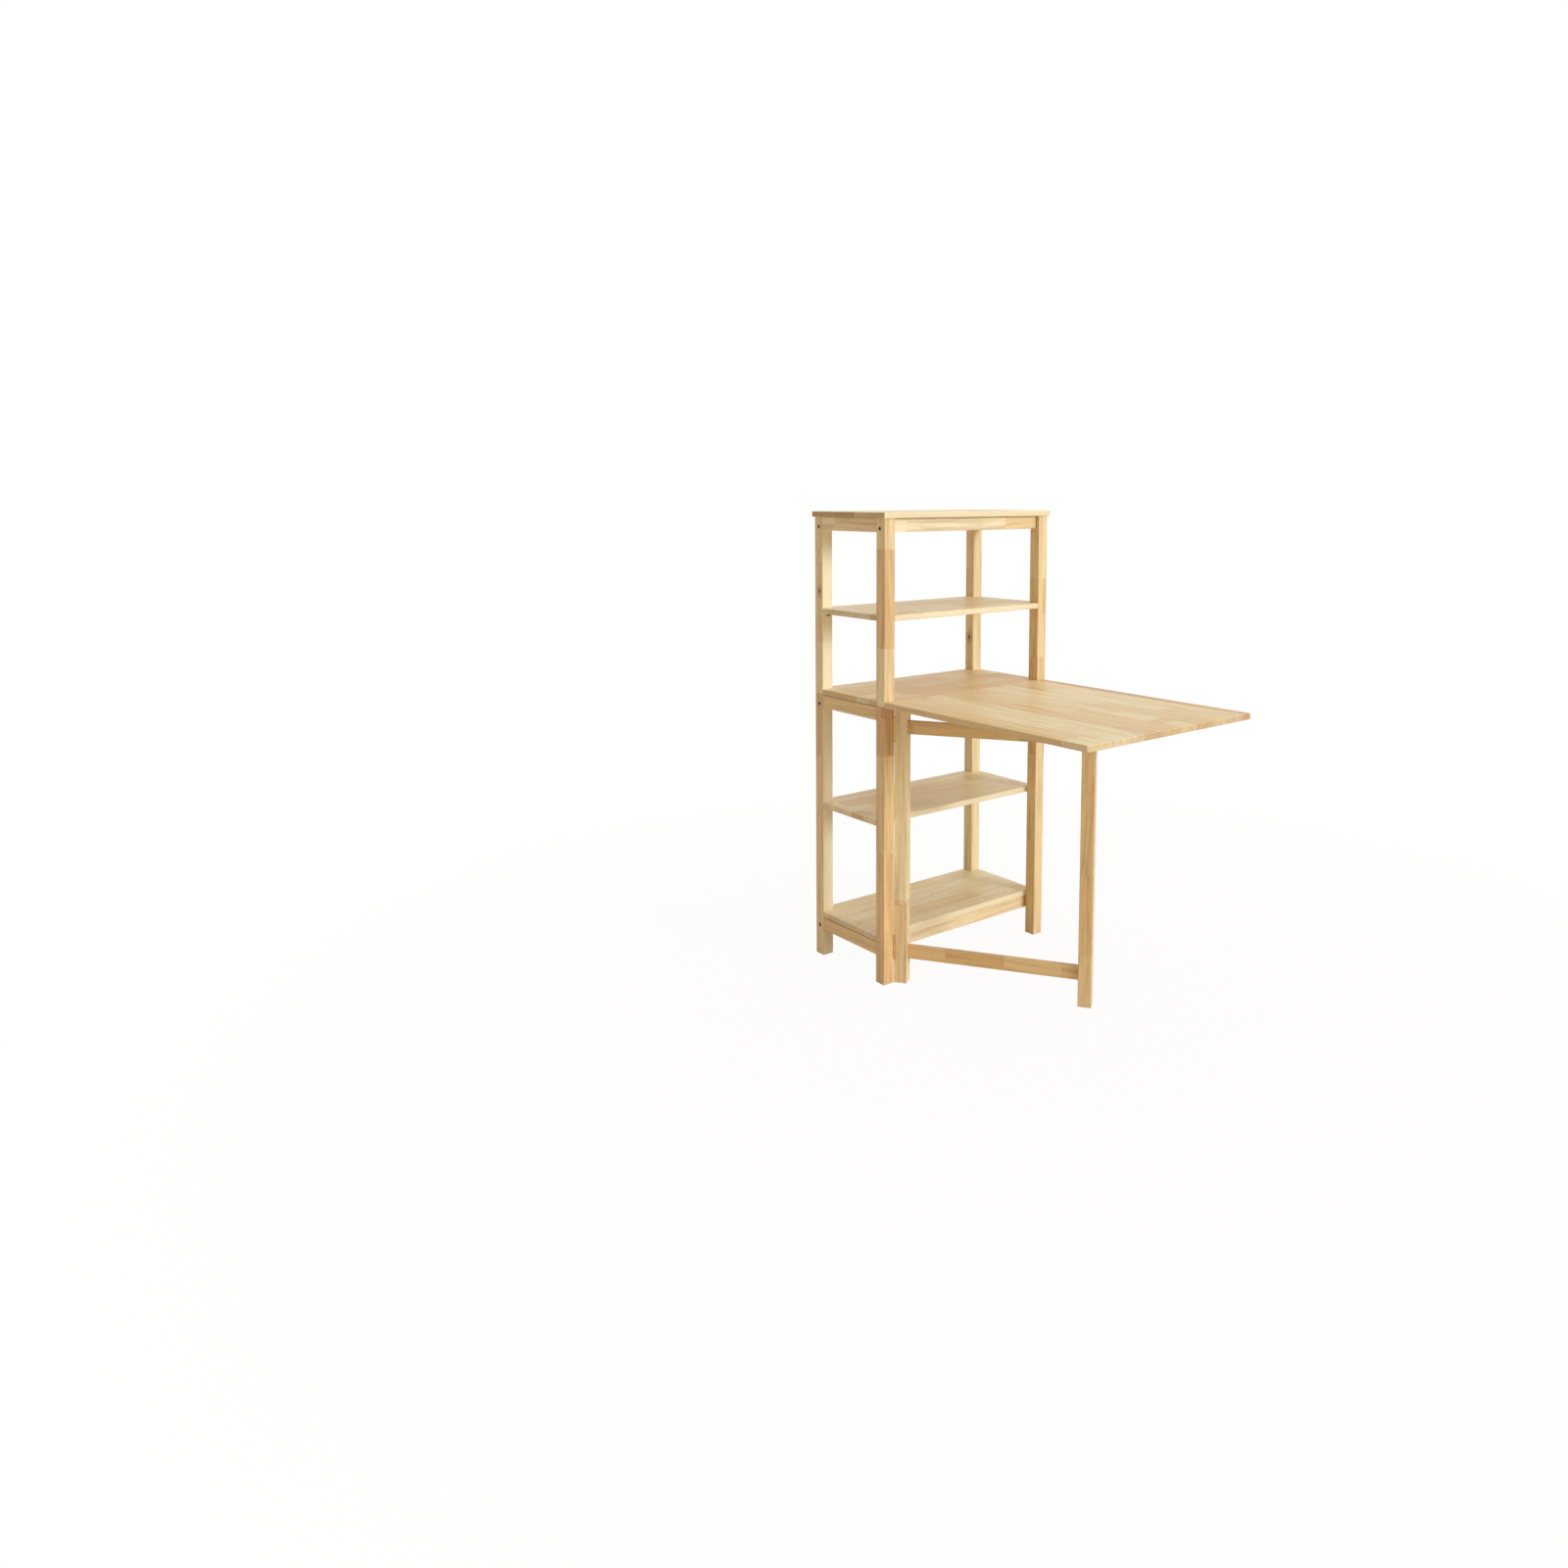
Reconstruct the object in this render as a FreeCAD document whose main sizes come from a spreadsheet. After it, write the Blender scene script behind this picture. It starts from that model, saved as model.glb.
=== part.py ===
import FreeCAD, Part
import os
import Sketcher

# A tall wooden rack with a hinged table leaf and a swinging gate leg, shown unfolded.
# X runs left to right, -Y is the front, Z is up, and the origin is under the middle of the box.

# Driving sizes, in millimetres and degrees.
SIZES = {
    "overall_height": 1210,
    "rack_width": 590,
    "rack_depth": 290,
    "post_size": 33,
    "top_thickness": 15,
    "top_overhang": 5,
    "table_height": 735,
    "table_thickness": 15,
    "shelf_thickness": 15,
    "upper_shelf_height": 953,
    "lower_shelf_height": 426,
    "bottom_shelf_height": 122,
    "shelf_back_inset": 4,
    "notch_clearance": 0.5,
    "rail_height": 35,
    "rail_thickness": 18,
    "front_rail_setback": 11,
    "back_rail_setback": 8,
    "bottom_rail_setback": 3,
    "post_edge_radius": 1.5,
    "rail_edge_radius": 1,
    "board_edge_radius": 2,
    "leaf_reach": 657,
    "leaf_gap": 2,
    "leaf_corner_radius": 4,
    "leaf_hinge_inset": 114,
    "leaf_hinge_length": 50,
    "leaf_hinge_width": 20,
    "leaf_hinge_thickness": 1.5,
    "leaf_knuckle_radius": 3,
    "leaf_axis_drop": 3.2,
    "leaf_pin_radius": 1.5,
    "gate_size": 33,
    "gate_angle": 57,
    "gate_leg_gap": 20,
    "gate_plane_clearance": 1,
    "gate_top_clearance": 0.5,
    "gate_floor_clearance": 0.5,
    "gate_rail_height": 33,
    "gate_rail_thickness": 18,
    "gate_rail_setback": 8,
    "gate_upper_rail_drop": 36,
    "gate_lower_rail_height": 65,
    "gate_hinge_gap": 0.8,
    "gate_hinge_length": 64,
    "gate_hinge_width": 20,
    "gate_hinge_thickness": 0.9,
    "gate_hinge_recess": 0.6,
    "gate_knuckle_radius": 3.5,
    "gate_pin_radius": 1.5,
    "upper_gate_hinge_height": 663,
    "lower_gate_hinge_height": 94,
    "pin_clearance": 0.05,
    "knuckle_clearance": 0.3,
    "hinge_screw_diameter": 3,
    "hinge_screw_head": 5.5,
    "hinge_screw_length": 12,
    "hinge_screw_spacing": 30,
    "hinge_screw_offset": 12.5,
    "bolt_drop": 25.5,
    "bolt_diameter": 6,
    "bolt_hole_diameter": 6.4,
    "bolt_head_diameter": 10,
    "bolt_head_height": 6,
    "bolt_socket_width": 5,
    "bolt_socket_depth": 3,
    "counterbore_diameter": 11,
    "counterbore_depth": 7,
    "barrel_nut_diameter": 10,
    "barrel_nut_length": 14,
    "barrel_nut_inset": 28,
    "bolt_end_margin": 8,
    "bolt_end_gap": 0.3,
    "dowel_diameter": 6,
    "dowel_depth": 15,
    "cross_dowel_depth": 9,
    "dowel_spacing": 21,
    "side_dowel_drop": 6.5,
    "side_dowel_spacing": 9.5,
    "side_dowel_depth": 9,
    "shelf_pin_diameter": 6,
    "shelf_pin_depth": 10,
    "shelf_pin_reach": 10,
    "shelf_seat_gap": 0.1,
    "board_screw_diameter": 4,
    "board_screw_head": 8,
    "board_screw_head_height": 3,
    "board_screw_recess": 12,
    "board_screw_bite": 10,
    "board_screw_inset": 45,
}

doc = FreeCAD.newDocument("FoldingDiningTable")
sheet = doc.addObject("Spreadsheet::Sheet", "Sizes")
for row, (alias, number) in enumerate(SIZES.items(), start=1):
    sheet.set(f"A{row}", alias)
    sheet.set(f"B{row}", str(number))
    sheet.setAlias(f"B{row}", alias)
doc.recompute()


class Cells:
    """Gives a cell's name for use inside an expression, such as Sizes.post_size."""

    def __getattr__(self, alias):
        return f"Sizes.{alias}"


size = Cells()


def number_of(expression):
    """The value of an expression, for places where a plain number is needed."""
    return float(sheet.evalExpression(str(expression)))


def vector_of(*expressions):
    return FreeCAD.Vector(*(number_of(expression) for expression in expressions))


# Levels and planes that several pieces share, as expressions of the driving sizes.
LEFT_FACE = f"(-{size.rack_width} / 2)"
FRONT_FACE = f"(({size.leaf_reach} - {size.rack_depth} - {size.top_overhang}) / 2)"
POST_HEIGHT = f"({size.overall_height} - {size.top_thickness})"
TABLE_UNDERSIDE = f"({size.table_height} - {size.table_thickness})"
UPPER_UNDERSIDE = f"({size.upper_shelf_height} - {size.shelf_thickness})"
LOWER_UNDERSIDE = f"({size.lower_shelf_height} - {size.shelf_thickness})"
BOTTOM_UNDERSIDE = f"({size.bottom_shelf_height} - {size.shelf_thickness})"
GATE_PLANE = f"({size.gate_size} + {size.gate_plane_clearance})"
BACK_POST_FACE = f"({size.rack_depth} - {size.post_size})"
RIGHT_POST_FACE = f"({size.rack_width} - {size.post_size})"
SIDE_RAIL_LENGTH = f"({size.rack_depth} - 2 * {size.post_size})"
CROSS_RAIL_LENGTH = f"({size.rack_width} - 2 * {size.post_size})"
RAIL_MIDDLE = f"({size.rail_height} / 2)"
BOARD_OVER_RAIL = {"top": POST_HEIGHT, "table": TABLE_UNDERSIDE, "bottom": BOTTOM_UNDERSIDE}
FRONT_RAIL_LINE = f"({size.front_rail_setback} + {size.rail_thickness} / 2)"
BACK_RAIL_LINE = f"({size.rack_depth} - {size.back_rail_setback} - {size.rail_thickness} / 2)"
BOTTOM_FRONT_RAIL_FACE = f"({GATE_PLANE} + {size.bottom_rail_setback})"
GATE_AXIS_X = f"({size.post_size} + {size.gate_hinge_gap} / 2)"
GATE_WIDTH = f"({CROSS_RAIL_LENGTH} - {size.gate_hinge_gap} - {size.gate_leg_gap})"
STILE_FACE = f"({size.gate_hinge_gap} / 2)"
GATE_PLATE_FACE = f"({STILE_FACE} + {size.gate_hinge_recess})"
LEG_FACE = f"({STILE_FACE} + {GATE_WIDTH} - {size.gate_size})"
GATE_RAIL_START = f"({STILE_FACE} + {size.gate_size})"
GATE_RAIL_LENGTH = f"({GATE_WIDTH} - 2 * {size.gate_size})"
GATE_UPPER_RAIL_LEVEL = f"({TABLE_UNDERSIDE} - {size.gate_upper_rail_drop} - {size.gate_rail_height})"
GATE_RAIL_LEVELS = {"upper": GATE_UPPER_RAIL_LEVEL, "lower": size.gate_lower_rail_height}
GATE_HINGE_LEVELS = {"upper": size.upper_gate_hinge_height, "lower": size.lower_gate_hinge_height}
LEAF_AXIS_Y = f"(-{size.leaf_gap} / 2)"
LEAF_AXIS_Z = f"({TABLE_UNDERSIDE} - {size.leaf_axis_drop})"
LEAF_HINGE_LINES = {
    "left": size.leaf_hinge_inset,
    "middle": f"({size.rack_width} / 2)",
    "right": f"({size.rack_width} - {size.leaf_hinge_inset})",
}
DOWEL_RISES = [f"(-{size.dowel_spacing} / 2)", f"({size.dowel_spacing} / 2)"]
SIDE_DOWEL_DROPS = [size.side_dowel_drop, f"({size.side_dowel_drop} + {size.side_dowel_spacing})"]
SCREW_SHIFTS = [f"(-{size.hinge_screw_spacing} / 2)", f"({size.hinge_screw_spacing} / 2)"]
PIN_DROP = f"({size.shelf_pin_diameter} / 2 + {size.shelf_seat_gap})"
SHELF_PIN_LEVELS = [f"({UPPER_UNDERSIDE} - {PIN_DROP})", f"({LOWER_UNDERSIDE} - {PIN_DROP})"]
KNUCKLES = 5

pieces = []


def new_body(label):
    body = doc.addObject("PartDesign::Body", label)
    body.Label = label
    pieces.append(body)
    return body


def place(piece, x, y, z):
    """Sets a piece in the rack: x from the left face, y from the front face, z from the floor."""
    piece.setExpression("Placement.Base.x", f"{LEFT_FACE} + {x}")
    piece.setExpression("Placement.Base.y", f"{FRONT_FACE} + {y}")
    piece.setExpression("Placement.Base.z", z)


def place_on_gate(piece):
    """Sets a piece drawn about the gate's hinge axis, and swings it out."""
    place(piece, GATE_AXIS_X, "0", "0")
    piece.Placement.Rotation = FreeCAD.Rotation(FreeCAD.Vector(0, 0, 1), -number_of(size.gate_angle))
    piece.setExpression("Placement.Rotation.Angle", f"-{size.gate_angle} * 1deg")


def new_sketch(body, name, role, offset=None):
    """A sketch on one of the body's own origin planes, moved along the plane's normal by offset."""
    sketch = body.newObject("Sketcher::SketchObject", f"{body.Label}_{name}")
    origin_plane = [part for part in body.Origin.OriginFeatures if part.Role == role][0]
    sketch.AttachmentSupport = [(origin_plane, "")]
    sketch.MapMode = "FlatFace"
    if offset:
        sketch.setExpression("AttachmentOffset.Base.z", offset)
    return sketch


def hold_point(sketch, geometry, position, x, y):
    """Ties a point of the sketch to two expressions, measured from the sketch's origin."""
    for kind, expression, axis in (("DistanceX", x, -2), ("DistanceY", y, -1)):
        if expression == "0":
            sketch.addConstraint(Sketcher.Constraint("PointOnObject", geometry, position, axis))
            continue
        distance = Sketcher.Constraint(kind, -1, 1, geometry, position, number_of(expression))
        index = sketch.addConstraint(distance)
        sketch.setExpression(f"Constraints[{index}]", expression)


def draw_polygon(sketch, points):
    corners = [vector_of(x, y, "0") for x, y in points]
    first = sketch.GeometryCount
    count = len(points)
    for index in range(count):
        sketch.addGeometry(Part.LineSegment(corners[index], corners[(index + 1) % count]), False)
    for index in range(count):
        following = first + (index + 1) % count
        sketch.addConstraint(Sketcher.Constraint("Coincident", first + index, 2, following, 1))
    for index, (x, y) in enumerate(points):
        hold_point(sketch, first + index, 1, x, y)


def draw_rectangle(sketch, x_low, y_low, x_high, y_high):
    draw_polygon(sketch, [(x_low, y_low), (x_high, y_low), (x_high, y_high), (x_low, y_high)])


def draw_circle(sketch, x, y, diameter):
    centre = vector_of(x, y, "0")
    circle = Part.Circle(centre, FreeCAD.Vector(0, 0, 1), number_of(diameter) / 2)
    geometry = sketch.addGeometry(circle, False)
    hold_point(sketch, geometry, 3, x, y)
    index = sketch.addConstraint(Sketcher.Constraint("Diameter", geometry, number_of(diameter)))
    sketch.setExpression(f"Constraints[{index}]", diameter)


def pad(body, sketch, length, backwards=False):
    feature = body.newObject("PartDesign::Pad", f"{sketch.Name}_pad")
    feature.Profile = sketch
    feature.setExpression("Length", length)
    feature.Reversed = backwards
    doc.recompute()
    return feature


def cut(body, sketch, depth, backwards=False):
    """Pockets a sketch into the body, and stops if the cut missed it."""
    before = body.Shape.Volume
    feature = body.newObject("PartDesign::Pocket", f"{sketch.Name}_pocket")
    feature.Profile = sketch
    feature.setExpression("Length", depth)
    feature.Reversed = backwards
    doc.recompute()
    if not body.Shape.Volume < before:
        raise RuntimeError(f"{feature.Name} cut nothing")
    return feature


def drill_y(body, name, holes, diameter, depth, face="0"):
    """Round holes along Y: from the front face towards +Y, or from a back face towards -Y."""
    from_back = face != "0"
    sketch = new_sketch(body, name, "XZ_Plane", f"-{face}" if from_back else None)
    for x, z in holes:
        draw_circle(sketch, x, z, diameter)
    return cut(body, sketch, depth, backwards=from_back)


def drill_x(body, name, holes, diameter, depth, face="0"):
    """Round holes along X: from the left face towards +X, or from a right face towards -X."""
    from_right = face != "0"
    sketch = new_sketch(body, name, "YZ_Plane", face if from_right else None)
    for y, z in holes:
        draw_circle(sketch, y, z, diameter)
    return cut(body, sketch, depth, backwards=not from_right)


def drill_up(body, name, holes, diameter, depth):
    """Round holes along Z, from the underside upwards."""
    sketch = new_sketch(body, name, "XY_Plane")
    for x, y in holes:
        draw_circle(sketch, x, y, diameter)
    return cut(body, sketch, depth, backwards=True)


def ease_edges(body, radius, wanted):
    """Rounds the straight edges for which wanted(middle, direction) holds."""
    feature = body.Tip
    names = []
    for index, edge in enumerate(feature.Shape.Edges, start=1):
        if not isinstance(edge.Curve, Part.Line):
            continue
        if wanted(edge.CenterOfMass, edge.Curve.Direction):
            names.append(f"Edge{index}")
    fillet = body.newObject("PartDesign::Fillet", f"{body.Label}_eased_{len(names)}")
    fillet.Base = (feature, names)
    fillet.setExpression("Radius", radius)
    doc.recompute()
    return fillet


def along(direction, axis):
    """True where a direction is parallel to X, Y or Z, given as 0, 1 or 2."""
    return abs(abs(direction[axis]) - 1) < 1e-6


def near(one, other):
    return abs(one - other) < 1e-4


def ease_upright(body, hinge_edge=None):
    """Rounds an upright's long edges. The front edge beside the gate's hinges stays square, for a tight joint."""
    def wanted(middle, direction):
        square = hinge_edge is not None and near(middle.x, hinge_edge) and near(middle.y, 0)
        return along(direction, 2) and not square

    ease_edges(body, size.post_edge_radius, wanted)


# Posts.
def make_post(side, end):
    """A corner post with its bolt, dowel and shelf pin holes."""
    body = new_body(f"{end}_{side}_post")
    sketch = new_sketch(body, "section", "XY_Plane")
    draw_rectangle(sketch, "0", "0", size.post_size, size.post_size)
    pad(body, sketch, POST_HEIGHT)
    left = side == "left"
    front = end == "front"
    hinge_edge = number_of(size.post_size) if left and front else None
    ease_upright(body, hinge_edge)
    rail_line = f"({size.rail_thickness} / 2)" if left else f"({size.post_size} - {size.rail_thickness} / 2)"
    middle_line = f"({size.post_size} / 2)"
    inner_face = size.post_size if front else "0"

    dowel_holes = []
    for level in BOARD_OVER_RAIL.values():
        for drop in SIDE_DOWEL_DROPS:
            dowel_holes.append((rail_line, f"({level} - {drop})"))
    drill_y(body, "dowels", dowel_holes, size.dowel_diameter, size.dowel_depth, inner_face)

    pin_holes = [(middle_line, level) for level in SHELF_PIN_LEVELS]
    drill_y(body, "pins", pin_holes, size.shelf_pin_diameter, size.shelf_pin_depth, inner_face)

    bolt_line = FRONT_RAIL_LINE if front else f"({BACK_RAIL_LINE} - {BACK_POST_FACE})"
    bolt_levels = ["top"] if front else list(BOARD_OVER_RAIL)
    bolt_holes = [(bolt_line, f"({BOARD_OVER_RAIL[level]} - {size.bolt_drop})") for level in bolt_levels]
    outer_face = "0" if left else size.post_size
    drill_x(body, "bolts", bolt_holes, size.bolt_hole_diameter, size.post_size, outer_face)
    drill_x(body, "heads", bolt_holes, size.counterbore_diameter, size.counterbore_depth, outer_face)

    place(body, "0" if left else RIGHT_POST_FACE, "0" if front else BACK_POST_FACE, "0")
    return body


def cut_gate_hinge_seats(body, screw_face, inner_side, from_right):
    """Recesses for the plates, pilot holes and a seat for the barrel, where the gate's hinges sit."""
    half = f"({size.gate_hinge_length} / 2 + {size.knuckle_clearance})"
    recesses = new_sketch(body, "hinge_recesses", "YZ_Plane", screw_face)
    for level in GATE_HINGE_LEVELS.values():
        draw_rectangle(recesses, "0", f"({level} - {half})",
                       f"({size.gate_hinge_width} + {size.knuckle_clearance})", f"({level} + {half})")
    cut(body, recesses, size.gate_hinge_recess, backwards=not from_right)

    pilot_holes = []
    for level in GATE_HINGE_LEVELS.values():
        for shift in SCREW_SHIFTS:
            pilot_holes.append((size.hinge_screw_offset, f"({level} + {shift})"))
    bite = f"({size.hinge_screw_length} - {size.gate_hinge_thickness} + {size.gate_hinge_recess})"
    sketch = new_sketch(body, "hinge_pilots", "YZ_Plane", screw_face)
    for y, z in pilot_holes:
        draw_circle(sketch, y, z, size.hinge_screw_diameter)
    cut(body, sketch, bite, backwards=not from_right)

    seat = f"({size.gate_knuckle_radius} + {size.knuckle_clearance})"
    seats = new_sketch(body, "hinge_seats", "XZ_Plane")
    for level in GATE_HINGE_LEVELS.values():
        draw_rectangle(seats, inner_side, f"({level} - {half})", screw_face, f"({level} + {half})")
    cut(body, seats, seat)


BARREL_REACH = f"({size.gate_knuckle_radius} + {size.knuckle_clearance} - {size.gate_hinge_gap} / 2)"
for post_end in ("front", "back"):
    for post_side in ("left", "right"):
        post = make_post(post_side, post_end)
        if (post_end, post_side) == ("front", "left"):
            cut_gate_hinge_seats(post, size.post_size, f"({size.post_size} - {BARREL_REACH})", True)


# Rails.
def rail_body(label, length_x, length_y):
    body = new_body(label)
    sketch = new_sketch(body, "plan", "XY_Plane")
    draw_rectangle(sketch, "0", "0", length_x, length_y)
    pad(body, sketch, size.rail_height)
    axis = 0 if number_of(length_x) > number_of(length_y) else 1
    ease_edges(body, size.rail_edge_radius, lambda middle, direction: along(direction, axis))
    return body


def make_side_rail(side, level):
    """A rail between a front and a back post, doweled at both ends and screwed to the board above."""
    body = rail_body(f"{level}_{side}_rail", size.rail_thickness, SIDE_RAIL_LENGTH)
    line = f"({size.rail_thickness} / 2)"
    ends = [(line, f"({size.rail_height} - {drop})") for drop in SIDE_DOWEL_DROPS]
    drill_y(body, "front_dowels", ends, size.dowel_diameter, size.side_dowel_depth)
    drill_y(body, "back_dowels", ends, size.dowel_diameter, size.side_dowel_depth, SIDE_RAIL_LENGTH)
    screws = [(line, size.board_screw_inset), (line, f"({SIDE_RAIL_LENGTH} - {size.board_screw_inset})")]
    drill_up(body, "screw_recess", screws, size.board_screw_head, size.board_screw_recess)
    drill_up(body, "screw_holes", screws, size.board_screw_diameter, size.rail_height)
    if level == "bottom":
        rail_line = f"({BOTTOM_FRONT_RAIL_FACE} + {size.rail_thickness} / 2 - {size.post_size})"
        holes = [(rail_line, f"({RAIL_MIDDLE} + {rise})") for rise in DOWEL_RISES]
        inner_face = size.rail_thickness if side == "left" else "0"
        drill_x(body, "cross_dowels", holes, size.dowel_diameter, size.cross_dowel_depth, inner_face)
    left = "0" if side == "left" else f"({size.rack_width} - {size.rail_thickness})"
    place(body, left, size.post_size, f"({BOARD_OVER_RAIL[level]} - {size.rail_height})")


def make_bolted_rail(label, level, face, nuts_from_back):
    """A rail between two posts, held at each end by a bolt and a barrel nut."""
    body = rail_body(label, CROSS_RAIL_LENGTH, size.rail_thickness)
    bolt_rise = f"({size.rail_height} - {size.bolt_drop})"
    end = [(f"({size.rail_thickness} / 2)", bolt_rise)]
    reach = f"({size.barrel_nut_inset} + {size.bolt_end_margin})"
    drill_x(body, "left_bolt", end, size.bolt_hole_diameter, reach)
    drill_x(body, "right_bolt", end, size.bolt_hole_diameter, reach, CROSS_RAIL_LENGTH)
    nuts = [(size.barrel_nut_inset, bolt_rise),
            (f"({CROSS_RAIL_LENGTH} - {size.barrel_nut_inset})", bolt_rise)]
    nut_face = size.rail_thickness if nuts_from_back else "0"
    drill_y(body, "nuts", nuts, size.barrel_nut_diameter, size.barrel_nut_length, nut_face)
    place(body, size.post_size, face, f"({BOARD_OVER_RAIL[level]} - {size.rail_height})")


for rail_level in BOARD_OVER_RAIL:
    for rail_side in ("left", "right"):
        make_side_rail(rail_side, rail_level)
BACK_RAIL_FACE = f"({BACK_RAIL_LINE} - {size.rail_thickness} / 2)"
make_bolted_rail("top_front_rail", "top", size.front_rail_setback, nuts_from_back=True)
for rail_level in BOARD_OVER_RAIL:
    make_bolted_rail(f"{rail_level}_back_rail", rail_level, BACK_RAIL_FACE, nuts_from_back=False)

BOTTOM_FRONT_RAIL_LENGTH = f"({size.rack_width} - 2 * {size.rail_thickness})"
bottom_front_rail = rail_body("bottom_front_rail", BOTTOM_FRONT_RAIL_LENGTH, size.rail_thickness)
cross_ends = [(f"({size.rail_thickness} / 2)", f"({RAIL_MIDDLE} + {rise})") for rise in DOWEL_RISES]
drill_x(bottom_front_rail, "left_dowels", cross_ends, size.dowel_diameter, size.dowel_depth)
drill_x(bottom_front_rail, "right_dowels", cross_ends, size.dowel_diameter, size.dowel_depth,
        BOTTOM_FRONT_RAIL_LENGTH)
place(bottom_front_rail, size.rail_thickness, BOTTOM_FRONT_RAIL_FACE,
      f"({BOTTOM_UNDERSIDE} - {size.rail_height})")

# Boards.
SCREW_LINES_X = [f"({size.rail_thickness} / 2)", f"({size.rack_width} - {size.rail_thickness} / 2)"]
SCREW_LINES_Y = [f"({size.post_size} + {size.board_screw_inset})",
                 f"({BACK_POST_FACE} - {size.board_screw_inset})"]
BOARD_SCREW_SPOTS = [(x, y) for x in SCREW_LINES_X for y in SCREW_LINES_Y]


def make_shelf(label, thickness, level, front_edge, screwed):
    """A shelf whose side edges lie flush with the posts, notched round each post that it meets."""
    body = new_body(label)
    notch_x_low = f"({size.post_size} + {size.notch_clearance})"
    notch_x_high = f"({size.rack_width} - {notch_x_low})"
    notch_back = f"({BACK_POST_FACE} - {size.notch_clearance})"
    back_edge = f"({size.rack_depth} - {size.shelf_back_inset})"
    outline = [(size.rack_width, notch_back), (notch_x_high, notch_back), (notch_x_high, back_edge),
               (notch_x_low, back_edge), (notch_x_low, notch_back), ("0", notch_back)]
    if front_edge == "0":
        notch_front = f"({size.post_size} + {size.notch_clearance})"
        outline += [("0", notch_front), (notch_x_low, notch_front), (notch_x_low, "0"),
                    (notch_x_high, "0"), (notch_x_high, notch_front), (size.rack_width, notch_front)]
    else:
        outline += [("0", front_edge), (size.rack_width, front_edge)]
    sketch = new_sketch(body, "outline", "XY_Plane")
    draw_polygon(sketch, outline)
    pad(body, sketch, thickness)

    width = number_of(size.rack_width)
    front = number_of(front_edge)

    def outer_edge(middle, direction):
        if along(direction, 0):
            return near(middle.y, front)
        return along(direction, 1) and (near(middle.x, 0) or near(middle.x, width))

    ease_edges(body, size.board_edge_radius, outer_edge)
    if screwed:
        drill_up(body, "screw_pilots", BOARD_SCREW_SPOTS, size.board_screw_diameter, size.board_screw_bite)
    place(body, "0", "0", f"({level} - {thickness})")
    return body


make_shelf("upper_shelf", size.shelf_thickness, size.upper_shelf_height, "0", screwed=False)
table_shelf = make_shelf("table_shelf", size.table_thickness, size.table_height, "0", screwed=True)
make_shelf("lower_shelf", size.shelf_thickness, size.lower_shelf_height, GATE_PLANE, screwed=False)
make_shelf("bottom_shelf", size.shelf_thickness, size.bottom_shelf_height, GATE_PLANE, screwed=True)

top_board = new_body("top_board")
top_outline = new_sketch(top_board, "outline", "XY_Plane")
draw_rectangle(top_outline, f"-{size.top_overhang}", f"-{size.top_overhang}",
               f"({size.rack_width} + {size.top_overhang})", f"({size.rack_depth} + {size.top_overhang})")
pad(top_board, top_outline, size.top_thickness)
ease_edges(top_board, size.board_edge_radius, lambda middle, direction: not along(direction, 2))
drill_up(top_board, "screw_pilots", BOARD_SCREW_SPOTS, size.board_screw_diameter, size.board_screw_bite)
place(top_board, "0", "0", POST_HEIGHT)

# The leaf, which lies level with the table shelf and is hinged to its front edge.
LEAF_INNER_EDGE = f"-{size.leaf_gap}"
LEAF_FRONT_EDGE = f"-{size.leaf_reach}"
leaf_panel = new_body("leaf_panel")
leaf_outline = new_sketch(leaf_panel, "outline", "XY_Plane")
draw_rectangle(leaf_outline, "0", LEAF_FRONT_EDGE, size.rack_width, LEAF_INNER_EDGE)
pad(leaf_panel, leaf_outline, size.table_thickness)
leaf_front = -number_of(size.leaf_reach)
leaf_inner = -number_of(size.leaf_gap)
ease_edges(leaf_panel, size.leaf_corner_radius,
           lambda middle, direction: along(direction, 2) and near(middle.y, leaf_front))


def leaf_edge(middle, direction):
    return not along(direction, 2) and not near(middle.y, leaf_inner)


ease_edges(leaf_panel, size.board_edge_radius, leaf_edge)
place(leaf_panel, "0", "0", TABLE_UNDERSIDE)

LEAF_SCREW_BITE = f"({size.hinge_screw_length} - {size.leaf_hinge_thickness})"
for board, sign in ((table_shelf, ""), (leaf_panel, "-")):
    screw_row = f"({LEAF_AXIS_Y} + {sign}{size.hinge_screw_offset})"
    spots = []
    for line in LEAF_HINGE_LINES.values():
        for shift in SCREW_SHIFTS:
            spots.append((f"({line} + {shift})", screw_row))
    drill_up(board, "hinge_pilots", spots, size.hinge_screw_diameter, LEAF_SCREW_BITE)

# The gate, drawn folded about its hinge axis and then swung out.
GATE_TOP = f"({TABLE_UNDERSIDE} - {size.gate_top_clearance})"
GATE_DOWEL_LINE = f"({size.gate_rail_setback} + {size.gate_rail_thickness} / 2)"
gate_dowel_spots = []
for rail_level in GATE_RAIL_LEVELS.values():
    for dowel_rise in DOWEL_RISES:
        height = f"({rail_level} + {size.gate_rail_height} / 2 + {dowel_rise})"
        gate_dowel_spots.append((GATE_DOWEL_LINE, height))


def make_gate_upright(label, face, hinge_edge=None):
    """A square upright that runs from just above the floor to just under the leaf."""
    body = new_body(label)
    sketch = new_sketch(body, "section", "XY_Plane", size.gate_floor_clearance)
    draw_rectangle(sketch, face, "0", f"({face} + {size.gate_size})", size.gate_size)
    pad(body, sketch, f"({GATE_TOP} - {size.gate_floor_clearance})")
    ease_upright(body, hinge_edge)
    return body


gate_stile = make_gate_upright("gate_stile", STILE_FACE, number_of(STILE_FACE))
cut_gate_hinge_seats(gate_stile, STILE_FACE, f"({STILE_FACE} + {BARREL_REACH})", False)
drill_x(gate_stile, "dowels", gate_dowel_spots, size.dowel_diameter, size.dowel_depth, GATE_RAIL_START)
place_on_gate(gate_stile)

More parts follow.
